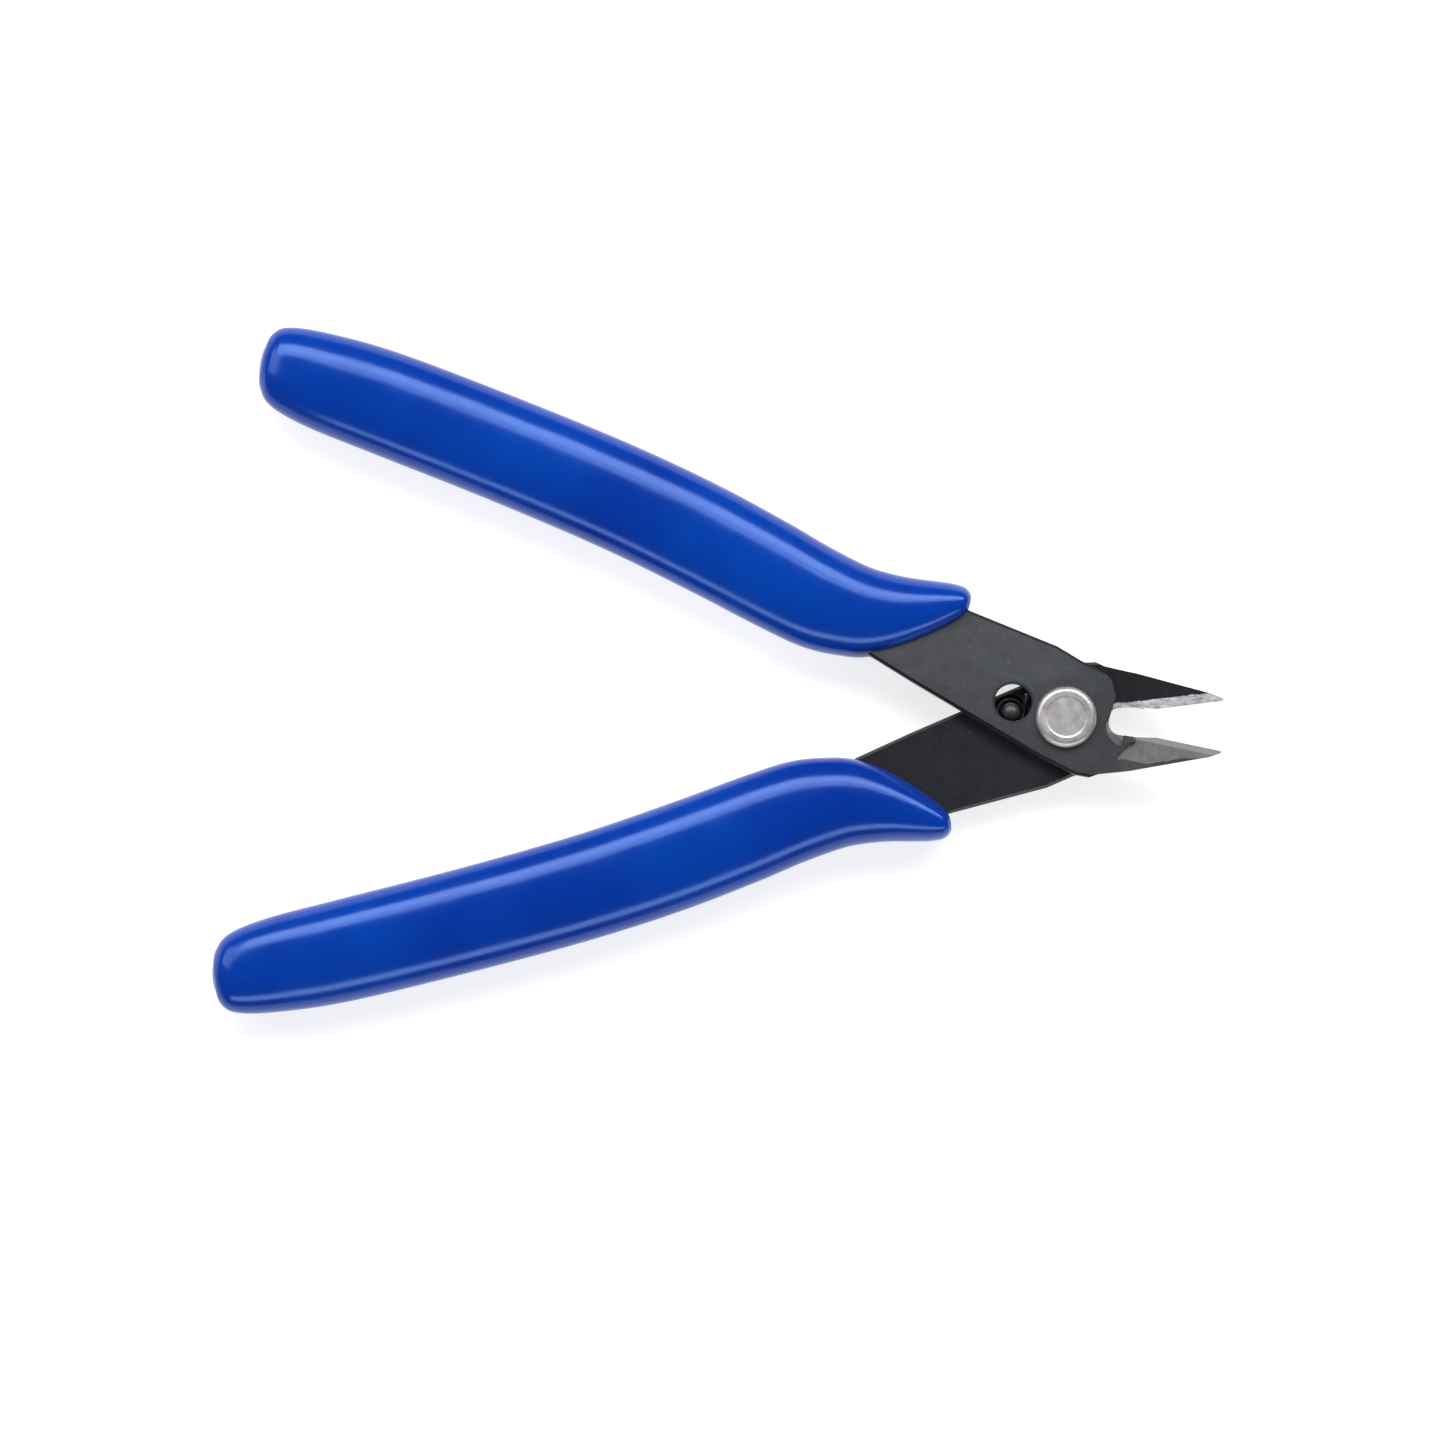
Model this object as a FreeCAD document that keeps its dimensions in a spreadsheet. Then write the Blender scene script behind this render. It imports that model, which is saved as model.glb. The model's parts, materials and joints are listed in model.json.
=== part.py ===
import FreeCAD, Part
import math
import os

import Sketcher

# Flush cut pliers: two stamped steel halves lapped and riveted at the pivot, each with a bent shear jaw
# and a moulded sleeve, a stop post that travels in a round window, and a torsion spring round the post.
#
# Frame: the origin is the centre of the rivet's flat tail, on the pivot axis. +X points at the jaw tips,
# +Y to the front half's handle and +Z to the side of the rivet's head. Each half is drawn as it lies when
# the pliers are closed, then turned about the pivot by half of the opening.

DIMENSIONS = (
    # the two plates and how far they open
    ("plate_thick", 2.0),
    ("plate_gap", 0.05),
    ("half_opening", 9.5),
    ("stamped_chamfer", 0.35),
    ("chamfer_reach", 5.0),
    ("head_radius", 7.35),
    # jaws: bent towards +Z beyond the lapped heads
    ("jaw_bend", 21.0),
    ("bend_start", 7.5),
    ("bend_radius", 2.0),
    ("jaw_tip", 19.45),
    ("jaw_bypass", 0.1),
    ("jaw_land", 0.25),
    ("jaw_bevel", 26.0),
    ("jaw_reach", 8.0),
    ("bevel_reach", 14.0),
    ("bevel_overrun", 0.8),
    ("bevel_clear", 6.0),
    ("runout_reach", 0.85),
    ("runout_radius", 3.6),
    ("crotch_radius", 1.6),
    ("crotch_bevel_depth", 1.0),
    ("crotch_bevel_width", 0.9),
    # rivet
    ("shank_radius", 2.4),
    ("running_clearance", 0.05),
    ("rivet_head_radius", 3.8),
    ("rivet_head_height", 1.0),
    ("rivet_face_radius", 3.0),
    ("rivet_rim_height", 0.45),
    ("rivet_rim_radius", 0.75),
    ("rivet_dish_radius", 2.65),
    ("rivet_dish_depth", 0.06),
    ("rivet_dish_slope", 0.25),
    ("rivet_tail_radius", 3.4),
    ("rivet_tail_height", 0.8),
    ("rivet_break", 0.25),
    # window in the front plate, stop post and spring pocket in the back plate
    ("stop_distance", 6.8),
    ("window_angle", 177.2),
    ("window_radius", 2.35),
    ("window_chamfer", 0.3),
    ("post_radius", 1.15),
    ("post_shank_radius", 0.8),
    ("post_height", 3.4),
    ("post_dome", 0.8),
    ("pocket_radius", 2.15),
    ("pocket_depth", 1.4),
    # spring
    ("wire_radius", 0.3),
    ("coil_radius", 1.65),
    ("coil_pitch", 0.65),
    ("coil_turns", 1.15),
    ("anchor_radius", 0.32),
    # sleeves
    ("grip_half_thick", 4.4),
    ("rest_land_depth", 0.15),
    # how each sleeve sits on its tang, beside the drawn stations
    ("front_grip_along", 0.4),
    ("front_grip_inner", -0.55),
    ("front_grip_outer", -0.4),
    ("back_grip_along", -0.4),
    ("back_grip_inner", 0.15),
    ("back_grip_outer", 0.0),
)

# Stations along a sleeve, from its closed rear end to the nose of its finger guard:
# distance from the pivot, inner edge, outer edge and half thickness as a share of grip_half_thick.
GRIP_STATIONS = (
    (-108.6, 19.80, 23.00, 0.28),
    (-108.0, 17.70, 24.90, 0.55),
    (-106.0, 15.90, 26.20, 0.78),
    (-101.0, 14.40, 26.60, 0.94),
    (-92.0, 13.10, 26.10, 1.0),
    (-77.0, 10.85, 24.10, 1.0),
    (-62.0, 8.20, 21.70, 1.0),
    (-50.0, 5.45, 19.20, 1.0),
    (-40.0, 2.90, 16.50, 1.0),
    (-34.0, 1.65, 14.65, 1.0),
    (-29.0, 1.70, 13.40, 0.98),
    (-26.0, 2.50, 13.10, 0.96),
    (-23.0, 4.05, 13.15, 0.92),
    (-20.0, 6.15, 13.45, 0.80),
    (-18.0, 7.80, 13.60, 0.63),
    (-16.3, 9.45, 13.45, 0.42),
    (-15.4, 10.55, 12.95, 0.24),
)

doc = FreeCAD.newDocument("flush_cut_pliers")
sheet = doc.addObject("Spreadsheet::Sheet", "Dims")


def fill_sheet():
    """One row for each driving dimension and for each station of the sleeves."""
    rows = list(DIMENSIONS)
    for number, station in enumerate(GRIP_STATIONS, start=1):
        for name, size in zip(("along", "inner", "outer", "thick"), station):
            rows.append((f"{name}_{number}", size))
    for row, (name, size) in enumerate(rows, start=1):
        sheet.set(f"A{row}", name)
        sheet.set(f"B{row}", str(size))
        sheet.setAlias(f"B{row}", name)
    doc.recompute()


def cell(name):
    return float(sheet.get(name))


def size_of(term):
    """A coordinate: a plain number, or the name of a cell with an optional minus sign."""
    if isinstance(term, str):
        return -cell(term[1:]) if term.startswith("-") else cell(term)
    return float(term)


def formula(term):
    return f"-Dims.{term[1:]}" if term.startswith("-") else f"Dims.{term}"


def origin_plane(body, role):
    return next(item for item in body.Origin.OriginFeatures if item.Role == role)


def new_sketch(body, name, role="XY_Plane", offset=FreeCAD.Placement()):
    sketch = body.newObject("Sketcher::SketchObject", name)
    sketch.AttachmentSupport = [(origin_plane(body, role), "")]
    sketch.MapMode = "FlatFace"
    sketch.AttachmentOffset = offset
    return sketch


def pin_point(sketch, edge, end, point, side=1):
    """Holds an edge's end, or a circle's centre, at its two coordinates. side -1 mirrors it in the X axis."""
    for kind, axis, term, factor in (("DistanceX", -2, point[0], 1), ("DistanceY", -1, point[1], side)):
        size = factor * size_of(term)
        if abs(size) < 1e-9:
            sketch.addConstraint(Sketcher.Constraint("PointOnObject", edge, end, axis))
            continue
        held = sketch.addConstraint(Sketcher.Constraint(kind, -1, 1, edge, end, size))
        if isinstance(term, str):
            sketch.setExpression(f"Constraints[{held}]", f"{factor} * ({formula(term)})")


def arc_between(start, end, radius):
    """The short arc from start to end, turning left when the radius is positive. Arcs run anticlockwise."""
    if radius < 0:
        return arc_between(end, start, -radius)
    chord = end - start
    middle = (start + end) * 0.5
    left = FreeCAD.Vector(-chord.y, chord.x, 0).normalize()
    centre = middle + left * math.sqrt(radius ** 2 - (chord.Length / 2) ** 2)
    first = math.atan2(start.y - centre.y, start.x - centre.x)
    last = math.atan2(end.y - centre.y, end.x - centre.x)
    return Part.ArcOfCircle(Part.Circle(centre, FreeCAD.Vector(0, 0, 1), radius), first, last)


def draw_outline(sketch, points, side=1):
    """Closes a chain of lines and arcs. A point's third entry is the radius of the arc that leaves it.

    A positive radius turns left on the way round, a negative one right."""
    places = [FreeCAD.Vector(size_of(point[0]), side * size_of(point[1]), 0) for point in points]
    ends = []
    for number, point in enumerate(points):
        start, end = places[number], places[(number + 1) % len(places)]
        if len(point) == 3:
            radius = side * size_of(point[2])
            sketch.addGeometry(arc_between(start, end, radius), False)
            ends.append((1, 2) if radius > 0 else (2, 1))
        else:
            sketch.addGeometry(Part.LineSegment(start, end), False)
            ends.append((1, 2))
    for number, point in enumerate(points):
        following = (number + 1) % len(points)
        joined = (number, ends[number][1], following, ends[following][0])
        sketch.addConstraint(Sketcher.Constraint("Coincident", *joined))
        pin_point(sketch, number, ends[number][0], point, side)
        if len(point) == 3:
            sketch.addConstraint(Sketcher.Constraint("Radius", number, abs(size_of(point[2]))))


def draw_circle(sketch, centre, radius_name, side=1):
    middle = FreeCAD.Vector(centre[0], side * centre[1], 0)
    sketch.addGeometry(Part.Circle(middle, FreeCAD.Vector(0, 0, 1), cell(radius_name)), False)
    pin_point(sketch, 0, 3, centre, side)
    held = sketch.addConstraint(Sketcher.Constraint("Radius", 0, cell(radius_name)))
    sketch.setExpression(f"Constraints[{held}]", formula(radius_name))


def cut_away(body, sketch, name, length=None, both_ways=False, outwards=False):
    """A pocket that must remove something: through everything when it has no length."""
    doc.recompute()
    before = body.Shape.Volume
    pocket = body.newObject("PartDesign::Pocket", name)
    pocket.Profile = sketch
    if both_ways:
        pocket.SideType = "Symmetric"
    if length is None:
        pocket.Type = "ThroughAll"
    elif isinstance(length, str):
        pocket.setExpression("Length", formula(length))
    else:
        pocket.Length = length
    pocket.Reversed = outwards
    doc.recompute()
    if body.Shape.Volume > before - 1e-6:
        raise RuntimeError(f"{name} removed nothing")


def place(piece, height, turn=0):
    """Lifts a piece by a formula and turns it about the pivot by half of the opening, where turn is 1 or -1."""
    piece.Placement = FreeCAD.Placement(
        FreeCAD.Vector(0, 0, 0), FreeCAD.Rotation(FreeCAD.Vector(0, 0, turn or 1), 0)
    )
    piece.setExpression("Placement.Base.z", height)
    if turn:
        piece.setExpression("Placement.Rotation.Angle", "Dims.half_opening")


BACK_LEVEL = "Dims.rivet_tail_height"
FRONT_LEVEL = "Dims.rivet_tail_height + Dims.plate_thick + Dims.plate_gap"
MIDDLE_LEVEL = "Dims.rivet_tail_height + Dims.plate_thick + Dims.plate_gap / 2"


def polar(distance, degrees):
    return distance * math.cos(math.radians(degrees)), distance * math.sin(math.radians(degrees))


def window_centre():
    return polar(cell("stop_distance"), cell("window_angle"))


def post_centre():
    """In the back half as it lies closed: the post meets the window's wall at both ends of the travel."""
    return polar(cell("stop_distance"), cell("window_angle") - cell("half_opening"))


# ---- the two plates ----

# Where the head's front edge turns into the rounded crotch between the jaws, and how far the middle of
# the crotch's countersink lies from the middle of its arc: it opens towards the jaw.
CROTCH_X = 5.3
CROTCH_Y = 1.0
SINK_SHIFT = (0.7, -0.45)


# A plate starts as a blank this tall, which the bend trims, and cutting outlines pass it by the spare.
BLANK_HEIGHT = 10.0
SPARE = 5.0


def plate_outline():
    """One half seen from its rivet side: tang, handle, lapped head and jaw. The other half mirrors it."""
    head = cell("head_radius")
    corner = cell("crotch_radius")
    return (
        (-88.0, 22.3),
        (-45.0, 14.3),
        (-20.0, 11.1),
        (-3.0, 8.4),
        (0.4, 7.3),
        polar(head, 69.0) + (-head,),
        polar(head, 52.0),
        (5.5, 4.0),
        (CROTCH_X, CROTCH_Y, corner),
        (CROTCH_X + corner, CROTCH_Y - corner),
        (8.6, -0.5),
        (11.6, "jaw_bypass"),
        ("jaw_tip", "jaw_bypass"),
        (19.6, -0.15),
        (18.3, -0.95),
        (9.4, -4.65),
        (5.6, -5.95),
        (4.6, -6.6),
        (2.7, -6.7),
        (-1.9, -5.6),
        (-19.4, -0.1),
        (-26.2, 2.2),
        (-34.0, 5.2),
        (-88.0, 15.6),
    )


def bend_end(radius, centre_height):
    """Where the arc of a bend of this radius meets the jaw's straight face, seen from the side."""
    angle = math.radians(cell("jaw_bend"))
    return (cell("bend_start") + radius * math.sin(angle), centre_height - radius * math.cos(angle))


def up_slope(start, reach_x):
    return (reach_x, start[1] + (reach_x - start[0]) * math.tan(math.radians(cell("jaw_bend"))))


def bend_jaw(body, inner_radius):
    """Trims the tall pad to the side view of a bent plate. inner_radius is on the side bent towards."""
    thick = cell("plate_thick")
    centre_height = thick + inner_radius
    beyond = cell("jaw_tip") + SPARE
    top_end = bend_end(inner_radius, centre_height)
    top = new_sketch(body, "above_the_plate", "XZ_Plane")
    draw_outline(top, (
        (-100.0, "plate_thick"),
        ("bend_start", "plate_thick", inner_radius),
        top_end,
        up_slope(top_end, beyond),
        (beyond, BLANK_HEIGHT + SPARE),
        (-100.0, BLANK_HEIGHT + SPARE),
    ))
    cut_away(body, top, "top_face", both_ways=True)
    base_end = bend_end(inner_radius + thick, centre_height)
    base = new_sketch(body, "below_the_jaw", "XZ_Plane")
    draw_outline(base, (
        ("bend_start", 0, inner_radius + thick),
        base_end,
        up_slope(base_end, beyond),
        (beyond, -1.0),
        ("bend_start", -1.0),
    ))
    cut_away(body, base, "jaw_underside", both_ways=True)


def grind_jaw(body, shear_radius, centre_height, side):
    """The jaw's outer bevel: a plane that leaves a narrow land at the cutting edge, with a curved run-out.

    side 1 grinds the front half's jaw from above, side -1 the back half's from below."""
    angle = cell("jaw_bend")
    slope = FreeCAD.Rotation(FreeCAD.Vector(0, 1, 0), -angle)
    start_x, start_z = bend_end(shear_radius, centre_height)
    edge = FreeCAD.Vector(start_x, side * cell("jaw_bypass"), start_z)
    edge += slope.multVec(FreeCAD.Vector(0, 0, side * cell("jaw_land")))
    facing = 0 if side > 0 else 180
    tilt = FreeCAD.Rotation(FreeCAD.Vector(1, 0, 0), facing - cell("jaw_bevel"))
    sketch = new_sketch(body, "bevel_outline", "XY_Plane", FreeCAD.Placement(edge, slope * tilt))
    draw_outline(sketch, (
        (0.3, "bevel_overrun"),
        (0.55, -1.4, "runout_radius"),
        ("-runout_reach", -4.6),
        ("-runout_reach", "-jaw_reach"),
        ("bevel_reach", "-jaw_reach"),
        ("bevel_reach", "bevel_overrun"),
    ))
    cut_away(body, sketch, "outer_bevel", length="bevel_clear", outwards=True)


def open_crotch(body, side):
    """Countersinks the rounded crotch between the jaws, on the plate's outer face."""
    corner = cell("crotch_radius")
    cone = body.newObject("PartDesign::SubtractiveCone", "crotch_bevel")
    depth = cell("crotch_bevel_depth")
    wide = corner + cell("crotch_bevel_width")
    cone.Radius1, cone.Radius2 = (corner, wide) if side > 0 else (wide, corner)
    cone.setExpression("Height", "Dims.crotch_bevel_depth")
    cone.Angle = 360
    cone.AttachmentSupport = [(origin_plane(body, "XY_Plane"), "")]
    cone.MapMode = "FlatFace"
    level = cell("plate_thick") - depth if side > 0 else 0
    middle = FreeCAD.Vector(CROTCH_X + corner + SINK_SHIFT[0], side * (CROTCH_Y + SINK_SHIFT[1]), level)
    cone.AttachmentOffset = FreeCAD.Placement(middle, FreeCAD.Rotation())
    doc.recompute()


def chamfer_edges(body, name, chosen, size_name):
    """Chamfers those edges of a body that the test chosen accepts."""
    names = [f"Edge{number}" for number, edge in enumerate(body.Shape.Edges, start=1) if chosen(edge)]
    if not names:
        raise RuntimeError(f"{name} found no edge")
    finished = body.Tip
    chamfer = body.newObject("PartDesign::Chamfer", name)
    chamfer.Base = (finished, names)
    chamfer.setExpression("Size", formula(size_name))
    doc.recompute()


def stamped_edge(body):
    """Breaks the straight edges of a plate's upper face, from the tang to the front of the head."""
    level = cell("plate_thick")
    face = max(
        (f for f in body.Shape.Faces if abs(f.BoundBox.ZMin - level) < 1e-6 and f.BoundBox.ZLength < 1e-6),
        key=lambda f: f.Area,
    )

    def on_outline(edge):
        outer = any(edge.isSame(other) for other in face.OuterWire.Edges)
        straight = isinstance(edge.Curve, Part.Line)
        return outer and straight and edge.BoundBox.XMax < cell("chamfer_reach")

    chamfer_edges(body, "stamped_edge", on_outline, "stamped_chamfer")


def bent_plate(label, side, inner_radius, shear_radius):
    body = doc.addObject("PartDesign::Body", label)
    body.Label = label
    outline = new_sketch(body, "outline")
    draw_outline(outline, plate_outline(), side)
    pad = body.newObject("PartDesign::Pad", "blank")
    pad.Profile = outline
    pad.Length = BLANK_HEIGHT
    doc.recompute()
    bend_jaw(body, inner_radius)
    grind_jaw(body, shear_radius, cell("plate_thick") + inner_radius, side)
    open_crotch(body, side)
    return body


def on_window_rim(edge):
    if not isinstance(edge.Curve, Part.Circle):
        return False
    same_size = abs(edge.Curve.Radius - cell("window_radius")) < 1e-6
    return same_size and abs(edge.CenterOfMass.z - cell("plate_thick")) < 1e-6


def front_plate():
    inner_radius = cell("bend_radius")
    body = bent_plate("front_plate", 1, inner_radius, inner_radius + cell("plate_thick"))
    bore = new_sketch(body, "bore_circle")
    radius = cell("shank_radius") + cell("running_clearance")
    bore.addGeometry(Part.Circle(FreeCAD.Vector(0, 0, 0), FreeCAD.Vector(0, 0, 1), radius), False)
    bore.addConstraint(Sketcher.Constraint("Coincident", 0, 3, -1, 1))
    held = bore.addConstraint(Sketcher.Constraint("Radius", 0, radius))
    bore.setExpression(f"Constraints[{held}]", "Dims.shank_radius + Dims.running_clearance")
    cut_away(body, bore, "rivet_bore", both_ways=True)
    window = new_sketch(body, "window_circle")
    draw_circle(window, window_centre(), "window_radius")
    cut_away(body, window, "window", both_ways=True)
    chamfer_edges(body, "window_rim", on_window_rim, "window_chamfer")
    stamped_edge(body)
    place(body, FRONT_LEVEL, -1)
    return body


def back_plate():
    shear_radius = cell("bend_radius") + cell("plate_thick") + cell("plate_gap")
    body = bent_plate("back_plate", -1, shear_radius, shear_radius)
    for name, centre, radius_name in (
        ("rivet_hole", (0, 0), "shank_radius"),
        ("post_hole", post_centre(), "post_shank_radius"),
        ("spring_anchor", anchor_centre(), "anchor_radius"),
    ):
        sketch = new_sketch(body, f"{name}_circle")
        draw_circle(sketch, centre, radius_name)
        cut_away(body, sketch, name, both_ways=True)
    face = FreeCAD.Placement(FreeCAD.Vector(0, 0, cell("plate_thick")), FreeCAD.Rotation())
    pocket = new_sketch(body, "pocket_circle", "XY_Plane", face)
    pocket.setExpression("AttachmentOffset.Base.z", "Dims.plate_thick")
    draw_circle(pocket, post_centre(), "pocket_radius")
    cut_away(body, pocket, "spring_pocket", length="pocket_depth")
    stamped_edge(body)
    place(body, BACK_LEVEL, 1)
    return body


# ---- rivet and stop post: turned pieces ----

def turned(label, profile):
    """A piece turned about its own Z axis from a half profile of (radius, height) points."""
    body = doc.addObject("PartDesign::Body", label)
    body.Label = label
    sketch = new_sketch(body, "half_profile", "XZ_Plane")
    draw_outline(sketch, profile)
    turn = body.newObject("PartDesign::Revolution", "turn")
    turn.Profile = sketch
    turn.ReferenceAxis = (sketch, ["V_Axis"])
    turn.Angle = 360
    return body


def pivot_rivet():
    """Flat tail, shank, and a wide head with a bevelled rim round a shallow dish."""
    tail = cell("rivet_tail_height")
    under = tail + 2 * cell("plate_thick") + cell("plate_gap") + cell("running_clearance")
    top = under + cell("rivet_head_height")
    edge = cell("rivet_break")
    return turned("pivot_rivet", (
        (0, 0),
        (cell("rivet_tail_radius") - edge, 0),
        ("rivet_tail_radius", edge),
        ("rivet_tail_radius", "rivet_tail_height"),
        ("shank_radius", "rivet_tail_height"),
        ("shank_radius", under),
        ("rivet_head_radius", under),
        ("rivet_head_radius", under + cell("rivet_rim_height"), cell("rivet_rim_radius")),
        ("rivet_face_radius", top),
        ("rivet_dish_radius", top),
        (cell("rivet_dish_radius") - cell("rivet_dish_slope"), top - cell("rivet_dish_depth")),
        (0, top - cell("rivet_dish_depth")),
    ))


def stop_post():
    """A shouldered pin pressed into the back plate, with a domed top inside the window."""
    floor = cell("plate_thick") - cell("pocket_depth")
    radius = cell("post_radius")
    top = cell("post_height")
    dome = cell("post_dome")
    dome_radius = (radius ** 2 + dome ** 2) / (2 * dome)
    body = turned("stop_post", (
        (0, 0),
        ("post_shank_radius", 0),
        ("post_shank_radius", floor),
        ("post_radius", floor),
        ("post_radius", top - dome, dome_radius),
        (0, top),
    ))
    place(body, BACK_LEVEL)
    set_on_post(body)
    return body


def set_on_post(piece):
    """Moves a piece to the post's axis in the opened back half."""
    for axis, share in (("x", "cos"), ("y", "sin")):
        piece.setExpression(f"Placement.Base.{axis}", f"Dims.stop_distance * {share}(Dims.window_angle * 1 deg)")


# ---- spring ----

# About the post in the opened pose: where the coil turns into the upper leg, where that leg's end lies
# against the window's wall, and how far above the back plate it ends.
LEG_ANGLE = 10.0
LEG_TIP = (1.81, 2.28)
LEG_RISE = 1.3


def anchor_angle():
    """Where the coil starts: its turns end at the upper leg."""
    return LEG_ANGLE - 360.0 * cell("coil_turns")


def anchor_centre():
    """The hole for the spring's lower leg, in the back half as it lies closed."""
    post = post_centre()
    offset = polar(cell("coil_radius"), anchor_angle() - cell("half_opening"))
    return post[0] + offset[0], post[1] + offset[1]


def rod(name, start, end):
    """A straight length of spring wire with a rounded far end."""
    reach = FreeCAD.Vector(*end) - FreeCAD.Vector(*start)
    wire = doc.addObject("Part::Cylinder", name)
    wire.setExpression("Radius", "Dims.wire_radius")
    wire.Height = reach.Length
    turn = FreeCAD.Rotation(FreeCAD.Vector(0, 0, 1), reach)
    wire.Placement = FreeCAD.Placement(FreeCAD.Vector(*start), turn)
    return wire


def knuckle(name, centre):
    ball = doc.addObject("Part::Sphere", name)
    ball.setExpression("Radius", "Dims.wire_radius")
    ball.Placement.Base = FreeCAD.Vector(*centre)
    return ball


def return_spring():
    """A torsion spring in the pocket: lower leg down its anchor hole, upper leg up to the window's wall."""
    wire = cell("wire_radius")
    coil = cell("coil_radius")
    base = cell("plate_thick") - cell("pocket_depth") + wire
    rise = cell("coil_pitch") * cell("coil_turns")
    helix = doc.addObject("Part::Helix", "coil_line")
    helix.setExpression("Pitch", "Dims.coil_pitch")
    helix.setExpression("Height", "Dims.coil_pitch * Dims.coil_turns")
    helix.setExpression("Radius", "Dims.coil_radius")
    section = doc.addObject("Part::Circle", "wire_section")
    section.setExpression("Radius", "Dims.wire_radius")
    lean = math.degrees(math.atan2(cell("coil_pitch"), 2 * math.pi * coil))
    section.Placement = FreeCAD.Placement(
        FreeCAD.Vector(coil, 0, 0), FreeCAD.Rotation(FreeCAD.Vector(1, 0, 0), 90 + lean)
    )
    doc.recompute()
    turns = doc.addObject("Part::Sweep", "coil")
    turns.Sections = [section]
    turns.Spine = (helix, [f"Edge{n}" for n in range(1, len(helix.Shape.Edges) + 1)])
    turns.Solid = True
    turns.Frenet = True
    turns.Placement = FreeCAD.Placement(
        FreeCAD.Vector(0, 0, base), FreeCAD.Rotation(FreeCAD.Vector(0, 0, 1), anchor_angle())
    )
    foot = polar(coil, anchor_angle()) + (base,)
    shoulder = polar(coil, LEG_ANGLE) + (base + rise,)
    tip = LEG_TIP + (cell("plate_thick") + LEG_RISE,)
    pieces = (
        turns,
        rod("lower_leg", (foot[0], foot[1], 0.1), foot),
        knuckle("lower_knuckle", foot),
        rod("upper_leg", shoulder, tip),
        knuckle("upper_knuckle", shoulder),
        knuckle("leg_end", tip),
    )
    spring = doc.addObject("Part::MultiFuse", "return_spring")
    spring.Label = "return_spring"
    spring.Shapes = list(pieces)
    place(spring, BACK_LEVEL)
    set_on_post(spring)
    return spring


# ---- sleeves ----

def sleeve(label, plate, side):
    """An oval moulding lofted through its stations, flat where it rests, and hollow for the plate's tang."""
    sections = []
    for number in range(1, len(GRIP_STATIONS) + 1):
        oval = doc.addObject("Part::Ellipse", f"{label}_station_{number}")
        oval.Placement = FreeCAD.Placement(
            FreeCAD.Vector(0, 0, 0), FreeCAD.Rotation(FreeCAD.Vector(1, 1, 1), 120)
        )
        inner = f"(Dims.inner_{number} + Dims.{label}_inner)"
        outer = f"(Dims.outer_{number} + Dims.{label}_outer)"
        oval.setExpression("MajorRadius", f"({outer} - {inner}) / 2")
        oval.setExpression("MinorRadius", f"Dims.thick_{number} * Dims.grip_half_thick")
        oval.setExpression("Placement.Base.x", f"Dims.along_{number} + Dims.{label}_along")
        oval.setExpression("Placement.Base.y", f"{side} * ({outer} + {inner}) / 2")
        sections.append(oval)
    moulding = doc.addObject("Part::Loft", f"{label}_moulding")
    moulding.Sections = sections
    moulding.Solid = True
    moulding.Ruled = False
    place(moulding, MIDDLE_LEVEL, -side)
    bench = doc.addObject("Part::Box", f"{label}_bench")
    bench.Length = 160
    bench.Width = 160
    bench.Height = 5
    bench.Placement.Base = FreeCAD.Vector(-130, -80, 0)
    land = "Dims.grip_half_thick - Dims.rest_land_depth"
    bench.setExpression("Placement.Base.z", f"{MIDDLE_LEVEL} - ({land}) - 5")
    flattened = doc.addObject("Part::Cut", f"{label}_flattened")
    flattened.Base = moulding
    flattened.Tool = bench
    grip = doc.addObject("Part::Cut", label)
    grip.Label = label
    grip.Base = flattened
    grip.Tool = plate
    return grip


def check_document():
    """Stops when a feature failed, because a failed feature keeps its last good shape."""
    for item in doc.Objects:
        if "Invalid" in item.State or "Error" in item.State:
            raise RuntimeError(f"{item.Name} failed: {item.State}")


def write_steps(pieces):
    os.makedirs("parts", exist_ok=True)
    for piece in pieces:
        shape = piece.Shape
        if shape.isNull() or not shape.isValid() or len(shape.Solids) != 1:
            raise RuntimeError(f"{piece.Label} isn't one valid solid")
        shape.exportStep(f"parts/{piece.Label}.step")
        box = shape.BoundBox
        print(f"{piece.Label}: {shape.Volume:.1f} mm3, {box.XLength:.2f} x {box.YLength:.2f} x {box.ZLength:.2f}")


fill_sheet()
front = front_plate()
back = back_plate()
sub_parts = [front, back, pivot_rivet(), stop_post(), return_spring()]
sub_parts.append(sleeve("front_grip", front, 1))
sub_parts.append(sleeve("back_grip", back, -1))
doc.recompute()
check_document()
write_steps(sub_parts)
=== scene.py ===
import json
import math

import bpy
import numpy as np
from mathutils import Matrix, Vector


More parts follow.
